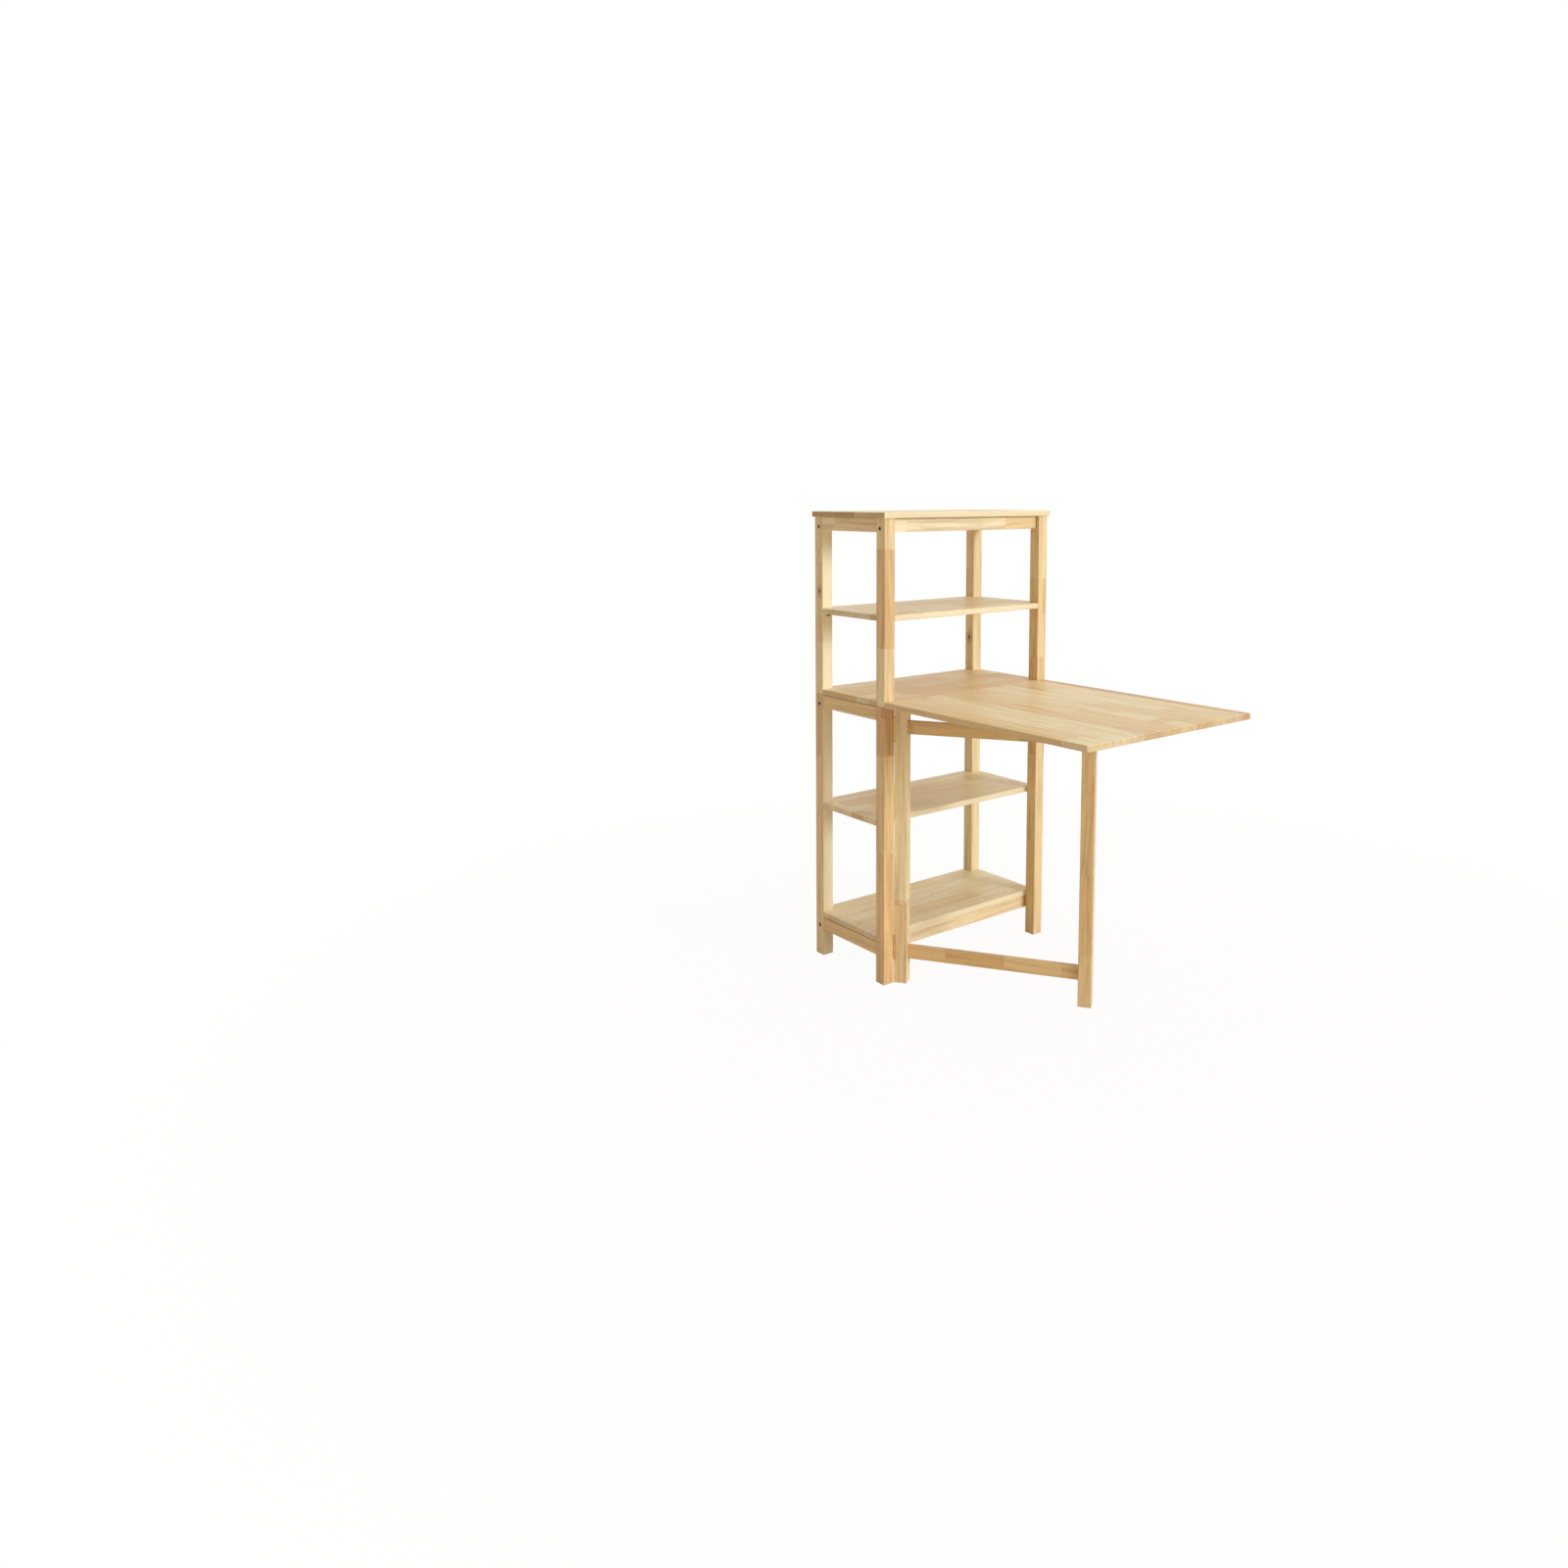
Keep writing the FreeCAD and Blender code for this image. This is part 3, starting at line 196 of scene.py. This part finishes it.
def buildStripWood(look):
    tree = bpy.data.node_groups.new("stripWood", "ShaderNodeTree")
    sockets = tree.interface
    for name in ("Along", "Across", "Through"):
        sockets.new_socket(name=name, in_out="INPUT", socket_type="NodeSocketVector")
    for name in ("Strip", "Shift", "Length", "Seed", "Depth", "Tone", "Streak", "End", "FrontLightPaint"):
        sockets.new_socket(name=name, in_out="INPUT", socket_type="NodeSocketFloat")
    sockets.new_socket(name="Colour", in_out="OUTPUT", socket_type="NodeSocketColor")
    for name in ("Roughness", "Height"):
        sockets.new_socket(name=name, in_out="OUTPUT", socket_type="NodeSocketFloat")
    given = put(tree, "NodeGroupInput").outputs
    result = put(tree, "NodeGroupOutput").inputs
    place = put(tree, "ShaderNodeTexCoord").outputs

    along = vectorCalc(tree, "DOT_PRODUCT", place["Object"], given["Along"])
    across = vectorCalc(tree, "DOT_PRODUCT", place["Object"], given["Across"])
    through = vectorCalc(tree, "DOT_PRODUCT", place["Object"], given["Through"])

    # which strip, and where in it
    stripPlace = calc(tree, "DIVIDE", calc(tree, "ADD", across, given["Shift"]), given["Strip"])
    stripNumber = calc(tree, "FLOOR", stripPlace)
    inStrip = calc(tree, "FRACT", stripPlace)

    # uneven lengths in each strip
    lengthPlace = calc(tree, "DIVIDE", along, given["Length"])
    lengthPlace = calc(tree, "MULTIPLY_ADD", stripNumber, look["stripStep"], lengthPlace)
    lengthPlace = calc(tree, "MULTIPLY_ADD", given["Seed"], look["seedStep"], lengthPlace)
    seedRow = calc(tree, "MULTIPLY", given["Seed"], look["seedRow"])
    rowPlace = calc(tree, "MULTIPLY_ADD", stripNumber, look["stripRow"], seedRow)
    cellPlace = join(tree, lengthPlace, rowPlace, 0.0)
    cells = put(tree, "ShaderNodeTexVoronoi", voronoi_dimensions="2D", feature="F1")
    cellEdge = put(tree, "ShaderNodeTexVoronoi", voronoi_dimensions="2D",
                   feature="DISTANCE_TO_EDGE")
    for pattern in (cells, cellEdge):
        plug(tree, pattern.inputs["Vector"], cellPlace)
        pattern.inputs["Scale"].default_value = 1.0
        pattern.inputs["Randomness"].default_value = look["uneven"]
    chance = put(tree, "ShaderNodeSeparateColor")
    tree.links.new(cells.outputs["Color"], chance.inputs[0])
    toneChance, grainChance, tiltChance = chance.outputs[0], chance.outputs[1], chance.outputs[2]

    # every length is cut from its own bit of tree, and its grain leans a little
    lean = remap(tree, tiltChance, 0.0, 1.0, -look["lean"], look["lean"])
    leanAcross = calc(tree, "MULTIPLY_ADD", along, lean, across)
    seedBit = calc(tree, "MULTIPLY", given["Seed"], look["seedBit"])
    ownBit = calc(tree, "MULTIPLY_ADD", given["Tone"], look["toneBit"], seedBit)
    alongBit = calc(tree, "MULTIPLY_ADD", grainChance, look["alongBit"], ownBit)
    acrossBit = calc(tree, "MULTIPLY_ADD", tiltChance, look["acrossBit"], ownBit)
    woodAlong = calc(tree, "ADD", along, alongBit)
    woodAcross = calc(tree, "ADD", leanAcross, acrossBit)

    def grainNoise(grain):
        lengthwise, crosswise = grain["perMetre"]
        position = join(tree, calc(tree, "MULTIPLY", woodAlong, lengthwise),
                        calc(tree, "MULTIPLY", woodAcross, crosswise),
                        calc(tree, "MULTIPLY", through, crosswise))
        return noise(tree, position, detail=grain["detail"], roughness=grain["roughness"])

    streak = remap(tree, grainNoise(look["streak"]), *look["streakRange"])
    line = remap(tree, grainNoise(look["line"]), *look["lineRange"])
    fibre = grainNoise(look["fibre"])
    pore = remap(tree, grainNoise(look["pore"]), *look["poreRange"], smooth=True)

    # flat-sawn figure: growth rings that wander and close into long arches
    ringPlace = calc(tree, "MULTIPLY", woodAcross, look["ringPerMetre"])
    wander = grainNoise(look["figure"])
    ringPlace = calc(tree, "MULTIPLY_ADD", wander, look["ringWander"], ringPlace)
    ring = calc(tree, "POWER", calc(tree, "FRACT", ringPlace), look["ringSharpness"])

    # the tone of each length, then its streaks, rings and pores
    tones = put(tree, "ShaderNodeValToRGB")
    ramp = tones.color_ramp
    ramp.elements[0].color = look["cream"]
    ramp.elements[1].color = look["tan"]
    for name, tone in look["middleTones"].items():
        ramp.elements.new(tone).color = look[name]
    unlike = calc(tree, "SUBTRACT", toneChance, 0.5)
    tonePlace = calc(tree, "MULTIPLY_ADD", unlike, given["Depth"], given["Tone"])
    tree.links.new(tonePlace, tones.inputs[0])
    hue = blendColours(tree, "MIX", grainChance, look["yellowish"], look["rosy"])
    colour = blendColours(tree, "MULTIPLY", 1.0, tones.outputs[0], hue)
    browning = calc(tree, "MULTIPLY", calc(tree, "ADD", streak, line), given["Streak"])
    colour = blendColours(tree, "MIX", browning, colour, look["brown"])
    ringTint = calc(tree, "MULTIPLY", ring, look["ringTint"])
    colour = blendColours(tree, "MIX", ringTint, colour, look["tan"])
    poreTint = calc(tree, "MULTIPLY", pore, look["poreTint"])
    colour = blendColours(tree, "MIX", poreTint, colour, look["brown"])

    # thin glue lines between strips and at the ends of the lengths
    edgeNear = calc(tree, "MINIMUM", inStrip, calc(tree, "SUBTRACT", 1.0, inStrip))
    edgeNear = calc(tree, "MULTIPLY", edgeNear, given["Strip"])
    glue = remap(tree, edgeNear, *look["glueRange"])
    jointNear = calc(tree, "MULTIPLY", cellEdge.outputs["Distance"], given["Length"])
    butt = remap(tree, jointNear, *look["buttRange"])
    colour = blendColours(tree, "MIX", calc(tree, "MAXIMUM", glue, butt), colour, look["brown"])

    # sawn ends drink more lacquer, some lengths more than others
    facing = vectorCalc(tree, "DOT_PRODUCT", place["Normal"], given["Along"])
    cutEnd = remap(tree, calc(tree, "ABSOLUTE", facing), *look["facingRange"], smooth=True)
    thirst = remap(tree, grainChance, *look["thirstRange"])
    thirst = calc(tree, "MULTIPLY", given["End"], thirst)
    endColour = blendColours(tree, "MULTIPLY", thirst, colour, look["endGrain"])
    colour = blendColours(tree, "MIX", cutEnd, colour, endColour)
    # painted highlight: faces turned to the front are mixed towards cream, as if lit by the front
    # lamp
    forward = vectorCalc(tree, "DOT_PRODUCT", place["Normal"], front)
    paintedFrontLight = remap(tree, forward, *look["facingRange"], smooth=True)
    paintedFrontLight = calc(tree, "MULTIPLY", paintedFrontLight, given["FrontLightPaint"])
    colour = blendColours(tree, "MIX", paintedFrontLight, colour, look["cream"])
    fine = remap(tree, fibre, *look["fibreRange"])
    colour = blendColours(tree, "MULTIPLY", 1.0, colour, join(tree, fine, fine, fine))
    tree.links.new(colour, result["Colour"])

    rough = calc(tree, "MULTIPLY_ADD", fibre, look["fibreRoughness"], look["roughness"])
    rough = calc(tree, "MULTIPLY_ADD", cutEnd, look["endRoughness"], rough)
    rough = calc(tree, "MULTIPLY_ADD", pore, look["poreRoughness"], rough)
    tree.links.new(rough, result["Roughness"])
    height = calc(tree, "MULTIPLY_ADD", pore, look["poreHeight"], fibre)
    height = calc(tree, "MULTIPLY_ADD", glue, look["glueHeight"], height)
    tree.links.new(height, result["Height"])
    return tree


stripWoodGroup = buildStripWood(stripWood)
print("strip wood ready")

# knots: a dark heart, and the grain browner around it
knotLook = dict(heart=paint(62, 38, 20), heartAmount=0.85, heartEdge=0.5,
                halo=paint(150, 100, 56), haloAmount=0.5, spread=3.4, squash=-0.45)


def addKnots(tree, colour, along, knots, look):
    place = put(tree, "ShaderNodeTexCoord").outputs["Object"]
    for spot, radius in knots:
        away = vectorCalc(tree, "SUBTRACT", place, spot)
        lengthwise = vectorCalc(tree, "DOT_PRODUCT", away, along)
        lengthwise = calc(tree, "MULTIPLY", lengthwise, look["squash"])
        squashed = join(tree, *(calc(tree, "MULTIPLY", lengthwise, axis) for axis in along))
        distance = vectorCalc(tree, "LENGTH", vectorCalc(tree, "ADD", away, squashed))
        halo = remap(tree, distance, radius * look["spread"], radius,
                     0.0, look["haloAmount"], smooth=True)
        colour = blendColours(tree, "MIX", halo, colour, look["halo"])
        heart = remap(tree, distance, radius, radius * look["heartEdge"],
                      0.0, look["heartAmount"], smooth=True)
        colour = blendColours(tree, "MIX", heart, colour, look["heart"])
    return colour


# painted shade: dark lines where a piece meets the next one, for the shadow in the gap there:
# direction, how far out the joint lies, width
gapShadeLook = dict(colour=paint(92, 62, 36), amount=0.72, fullFrom=0.7)


def addGapShade(tree, colour, gapShades, look):
    place = put(tree, "ShaderNodeTexCoord").outputs["Object"]
    for direction, level, width in gapShades:
        reach = vectorCalc(tree, "DOT_PRODUCT", place, direction)
        dark = remap(tree, reach, level - width, level - width * look["fullFrom"],
                     0.0, look["amount"], smooth=True)
        colour = blendColours(tree, "MIX", dark, colour, look["colour"])
    return colour


# joints give each length of a stick, or each strip of a panel, its own tone from where it starts
def toneOfLengths(tree, axis, origin, joints):
    place = put(tree, "ShaderNodeTexCoord").outputs["Object"]
    longest = 1.25  # a little more than the tallest post
    reach = calc(tree, "SUBTRACT", vectorCalc(tree, "DOT_PRODUCT", place, axis), origin)
    lengths = put(tree, "ShaderNodeValToRGB")
    ramp = lengths.color_ramp
    ramp.interpolation = "CONSTANT"
    while len(ramp.elements) < len(joints):
        ramp.elements.new(1.0)
    for element, (start, tone) in zip(ramp.elements, joints):
        element.position = start / longest
        element.color = (tone, tone, tone, 1.0)
    tree.links.new(calc(tree, "DIVIDE", reach, longest), lengths.inputs[0])
    return lengths.outputs[0]


# a thin satin lacquer over all the wood
lacquer = dict(relief=0.22, reliefDepth=0.0004, specular=0.4, coat=0.06, coatRoughness=0.3)


def woodFor(name, along, across, through, strip, shift, length, seed, depth, tone, streak, end,
            frontLightPaint=0.0, joints=(), jointAxis=up, jointOrigin=0.0, knots=(), gapShades=()):
    material, tree, shader = startMaterial(name + "Wood")
    group = put(tree, "ShaderNodeGroup", node_tree=stripWoodGroup)
    settings = {"Along": along, "Across": across, "Through": through, "Strip": strip,
                "Shift": shift, "Length": length, "Seed": seed, "Depth": depth,
                "Tone": tone, "Streak": streak, "End": end, "FrontLightPaint": frontLightPaint}
    for socket, level in settings.items():
        group.inputs[socket].default_value = level
    if joints:
        tones = toneOfLengths(tree, jointAxis, jointOrigin, joints)
        tree.links.new(tones, group.inputs["Tone"])
    colour = addKnots(tree, group.outputs["Colour"], along, knots, knotLook)
    # painted shade in the gaps between pieces
    colour = addGapShade(tree, colour, gapShades, gapShadeLook)
    tree.links.new(colour, shader.inputs["Base Color"])
    tree.links.new(group.outputs["Roughness"], shader.inputs["Roughness"])
    addBump(tree, shader, group.outputs["Height"], lacquer["relief"], lacquer["reliefDepth"])
    shader.inputs["Specular IOR Level"].default_value = lacquer["specular"]
    shader.inputs["Coat Weight"].default_value = lacquer["coat"]
    shader.inputs["Coat Roughness"].default_value = lacquer["coatRoughness"]
    return material


# boards: strip width, where the first strip starts, usual length and how far the tones differ
sideways = dict(along=right, across=back)
# the front-light amount paints the front edges paler, a painted highlight
boards = {
    "leaf_panel": dict(along=back, across=right, strip=0.0627, shift=0.295, length=0.34, seed=3.0,
                       depth=0.44, tone=0.30, streak=0.40, end=0.40, frontLightPaint=0.1,
                       joints=[(0.0, 0.30), (0.560, 0.95)], jointAxis=right, jointOrigin=-0.295),
    "table_shelf": dict(sideways, strip=0.058, shift=-0.181, length=0.30, seed=5.0, depth=0.5,
                        tone=0.40, streak=0.34, end=0.3, frontLightPaint=0.5),
    "top_board": dict(sideways, strip=0.060, shift=-0.176, length=0.34, seed=7.0, depth=0.25,
                      tone=0.06, streak=0.24, end=0.74, frontLightPaint=0.4),
    # the three lower shelves are given paler tones partly as painted light, brighter than the
    # lamps make them inside the rack
    "upper_shelf": dict(sideways, strip=0.058, shift=-0.181, length=0.32, seed=9.0, depth=0.5,
                        tone=0.18, streak=0.28, end=0.3, frontLightPaint=0.6),
    "lower_shelf": dict(sideways, strip=0.050, shift=-0.215, length=0.28, seed=11.0, depth=0.55,
                        tone=0.13, streak=0.24, end=0.3, frontLightPaint=0.5),
    "bottom_shelf": dict(sideways, strip=0.050, shift=-0.215, length=0.28, seed=13.0, depth=0.42,
                         tone=0.10, streak=0.24, end=0.3, frontLightPaint=0.5),
}
for boardName, look in boards.items():
    dress(boardName, woodFor(boardName, through=up, **look))
print("boards dressed")

# posts and gate uprights: one stick each, glued up from lengths that start at these heights; on
# the left posts the darker lengths just under the leaf, and on the back one under the upper shelf,
# are partly wood tone and partly painted shade, and the front-light amount paints front faces
# paler, a painted highlight
uprightLook = dict(along=up, across=right, through=back, strip=0.9, shift=0.45, length=3.0,
                   depth=0.04, tone=0.4, streak=0.60, end=0.3)
uprights = {
    # the dark length from 0.595 to 0.72, just under the leaf, is partly wood tone and partly
    # painted shade
    "front_left_post": dict(seed=21.0, joints=[
        (0.0, 0.66), (0.340, 0.54), (0.595, 0.90), (0.720, 0.30), (0.865, 0.68), (1.117, 0.36)]),
    "front_right_post": dict(seed=22.3, frontLightPaint=0.1, joints=[
        (0.0, 0.48), (0.270, 0.40), (0.520, 0.54), (0.800, 0.44), (1.020, 0.34)]),
    # painted highlight on the front face, strongest here; the lengths under the leaf and under the
    # upper shelf are partly painted shade
    "back_left_post": dict(seed=23.6, frontLightPaint=0.85, knots=[((-0.295, 0.451, 0.998), 0.0042)], joints=[
        (0.0, 0.52), (0.386, 0.58), (0.548, 0.66), (0.720, 0.30), (0.857, 0.62), (0.930, 0.40),
        (1.109, 0.52)]),
    "back_right_post": dict(seed=24.9, frontLightPaint=0.1, knots=[((0.262, 0.454, 0.832), 0.0048)], joints=[
        (0.0, 0.28), (0.330, 0.25), (0.640, 0.24), (0.900, 0.34)]),
    "gate_stile": dict(seed=26.2, joints=[(0.0, 0.40), (0.216, 0.18), (0.431, 0.28)]),
    "gate_leg": dict(seed=27.5, joints=[
        (0.0, 0.50), (0.130, 0.70), (0.330, 0.60), (0.580, 0.50)]),
}
for uprightName, look in uprights.items():
    dress(uprightName, woodFor(uprightName, **uprightLook, **look))
print("uprights dressed")

# rails between the posts and in the gate
railLook = dict(strip=0.9, shift=0.45, length=0.26, depth=0.40, streak=0.50, end=0.3)
acrossRails = {
    # painted shade: dark lines along the top and the right end of the front rail, for the shadow
    # in the gaps under the top board and against the post
    "top_front_rail": dict(tone=0.16, seed=31.0,
                           gapShades=[(up, 1.195, 0.0026), (right, 0.262, 0.0034)]),
    "top_back_rail": dict(tone=0.45, seed=32.3),
    "table_back_rail": dict(tone=0.45, seed=33.6),
    "bottom_back_rail": dict(tone=0.45, seed=34.9),
    "bottom_front_rail": dict(tone=0.16, seed=36.2),
}
for railName, look in acrossRails.items():
    dress(railName, woodFor(railName, along=right, across=up, through=back, **railLook, **look))

# the other sticks are numbered on from here, so that no two have the same grain
seed, seedStep = 37.5, 1.3
sideRails = {
    "top": dict(tone=0.26, railTop=1.195),
    "table": dict(tone=0.78, railTop=0.720),
    "bottom": dict(tone=0.52, railTop=0.107),
}
# painted shade: a dark line along the top of each side rail, for the shadow in the gap under the
# board above it
sideGapShadeWidth = 0.0016
for level, look in sideRails.items():
    sideGapShades = [(up, look["railTop"], sideGapShadeWidth)]
    for side in ("left", "right"):
        railName = f"{level}_{side}_rail"
        dress(railName, woodFor(railName, along=back, across=up, through=right, tone=look["tone"],
                                seed=seed, gapShades=sideGapShades, **railLook))
        seed += seedStep

gateRailTone = 0.74
for railName in ("gate_upper_rail", "gate_lower_rail"):
    dress(railName, woodFor(railName, along=gateAlong, across=up, through=gateThrough,
                            tone=gateRailTone, seed=seed, **railLook))
    seed += seedStep

dowelLook = dict(strip=0.9, shift=0.45, length=0.4, depth=0.3, tone=0.4, streak=0.3, end=0.3)
for dowelName, dowelAlong in (("rail_dowels", back), ("gate_dowels", gateAlong)):
    dress(dowelName, woodFor(dowelName, along=dowelAlong, across=up, through=gateThrough,
                             seed=seed, **dowelLook))
    seed += seedStep
print("rails and dowels dressed")

# metal: a little uneven in colour and polish, with fine drawn lines
brassLook = dict(main=paint(222, 180, 112), worn=paint(164, 122, 70), polish=0.26, uneven=0.16)
steelLook = dict(main=paint(112, 98, 82), worn=paint(70, 60, 50), polish=0.38, uneven=0.18)
metalFinish = dict(cloudPerMetre=140.0, cloudDetail=4.0, linesPerMetre=(300.0, 300.0, 2600.0),
                   linesDetail=2.0, roughness=0.6, wornRange=(0.42, 0.68, 0.0, 0.7),
                   linesRoughness=0.08, relief=0.12, reliefDepth=0.0001)


def metalFor(name, look, finish):
    material, tree, shader = startMaterial(name)
    place = put(tree, "ShaderNodeTexCoord").outputs["Object"]
    cloud = noise(tree, place, finish["cloudPerMetre"], finish["cloudDetail"], finish["roughness"])
    drawn = vectorCalc(tree, "MULTIPLY", place, finish["linesPerMetre"])
    lines = noise(tree, drawn, detail=finish["linesDetail"], roughness=finish["roughness"])
    worn = remap(tree, cloud, *finish["wornRange"])
    colour = blendColours(tree, "MIX", worn, look["main"], look["worn"])
    tree.links.new(colour, shader.inputs["Base Color"])
    rough = calc(tree, "MULTIPLY_ADD", cloud, look["uneven"], look["polish"])
    rough = calc(tree, "MULTIPLY_ADD", lines, finish["linesRoughness"], rough)
    tree.links.new(rough, shader.inputs["Roughness"])
    addBump(tree, shader, lines, finish["relief"], finish["reliefDepth"])
    shader.inputs["Metallic"].default_value = 1.0
    return material


hingeBrass = metalFor("hingeBrass", brassLook, metalFinish)
boltSteel = metalFor("boltSteel", steelLook, metalFinish)
for nodeName in nodes:
    if "_hinge_" in nodeName:
        dress(nodeName, hingeBrass)
for nodeName in ("frame_bolts", "barrel_nuts", "board_screws", "shelf_pins"):
    dress(nodeName, boltSteel)
print("metal dressed")

# pale floor that fades into the white behind it
floorLook = dict(half=9.0, colour=paint(241, 231, 214), shade=0.05, fadeFrom=0.9, fadeTo=2.4,
                 speckPerMetre=30.0, speckDetail=3.0, speckRoughness=0.6,
                 speckRange=(0.3, 0.7, 0.97, 1.0), roughness=0.9, specular=0.1)


def layFloor(look):
    half = look["half"]
    mesh = bpy.data.meshes.new("studioFloor")
    corners = [(-half, -half, 0), (half, -half, 0), (half, half, 0), (-half, half, 0)]
    mesh.from_pydata(corners, [], [(0, 1, 2, 3)])
    floor = addObject("studioFloor", mesh)
    material, tree, shader = startMaterial("studioFloor")
    place = put(tree, "ShaderNodeTexCoord").outputs["Object"]
    speck = noise(tree, place, look["speckPerMetre"], look["speckDetail"], look["speckRoughness"])
    speck = remap(tree, speck, *look["speckRange"])
    speck = join(tree, speck, speck, speck)
    colour = blendColours(tree, "MULTIPLY", 1.0, look["colour"], speck)
    tree.links.new(colour, shader.inputs["Base Color"])
    shader.inputs["Roughness"].default_value = look["roughness"]
    shader.inputs["Specular IOR Level"].default_value = look["specular"]
    glow = put(tree, "ShaderNodeEmission")
    fade = remap(tree, vectorCalc(tree, "LENGTH", place), look["fadeFrom"], look["fadeTo"],
                 1.0 - look["shade"], 1.0, smooth=True)
    white = calc(tree, "MULTIPLY", seenRays(tree), fade)
    surface = blendShaders(tree, white, shader.outputs[0], glow.outputs[0])
    tree.links.new(surface, tree.nodes["Material Output"].inputs["Surface"])
    mesh.materials.append(material)


layFloor(floorLook)

# a low lamp in front, a wide soft one overhead, and an even room
lamps = {
    "frontLamp": dict(strength=1.75, angle=18.0, fromWhere=(0.29, -1.0, 0.28),
                      colour=(0.88, 0.935, 1.0)),
    "overheadLamp": dict(strength=1.12, angle=100.0, fromWhere=(0.1, -0.3, 1.0),
                         colour=(0.98, 1.0, 0.97)),
}
roomLook = dict(colour=(1.0, 0.90, 0.79), strength=0.37)


def hangLamp(name, look):
    lamp = bpy.data.lights.new(name, "SUN")
    lamp.energy = look["strength"]
    lamp.angle = math.radians(look["angle"])
    lamp.color = look["colour"]
    holder = addObject(name, lamp)
    x, y, z = look["fromWhere"]
    away = 3  # a sun lamp lights the same from any distance
    holder.location = (away * x, away * y, away * z)
    holder.rotation_euler = (math.atan2(math.hypot(x, y), z), 0.0, math.atan2(x, -y))


def lightRoom(room):
    world = bpy.data.worlds.new("room")
    bpy.context.scene.world = world
    world.use_nodes = True
    tree = world.node_tree
    fill = tree.nodes["Background"]
    fill.inputs["Color"].default_value = (*room["colour"], 1.0)
    fill.inputs["Strength"].default_value = room["strength"]
    white = put(tree, "ShaderNodeBackground")
    white.inputs["Color"].default_value = (1.0, 1.0, 1.0, 1.0)
    white.inputs["Strength"].default_value = 1.0
    surface = blendShaders(tree, seenRays(tree), fill.outputs[0], white.outputs[0])
    tree.links.new(surface, tree.nodes["World Output"].inputs["Surface"])


for lampName, look in lamps.items():
    hangLamp(lampName, look)
lightRoom(roomLook)
bpy.context.scene.view_settings.view_transform = "Standard"
print("floor and light ready")

# camera at the photograph's place: eye height, turned a little to the right
cameraLook = dict(place=(-2.1611, -2.0503, 1.2531), turn=-38.82, tilt=-5.48, sensor=36.0,
                  lens=26.978, shift=(-0.05, -0.1125))


def setCamera(look):
    camera = bpy.data.cameras.new("photoCamera")
    camera.sensor_width = look["sensor"]
    camera.lens = look["lens"]
    camera.shift_x, camera.shift_y = look["shift"]
    holder = addObject("photoCamera", camera)
    holder.location = look["place"]
    level = 90  # a camera that is not turned looks straight down
    holder.rotation_euler = (math.radians(level + look["tilt"]), 0.0, math.radians(look["turn"]))
    bpy.context.scene.camera = holder


setCamera(cameraLook)
print("camera set")
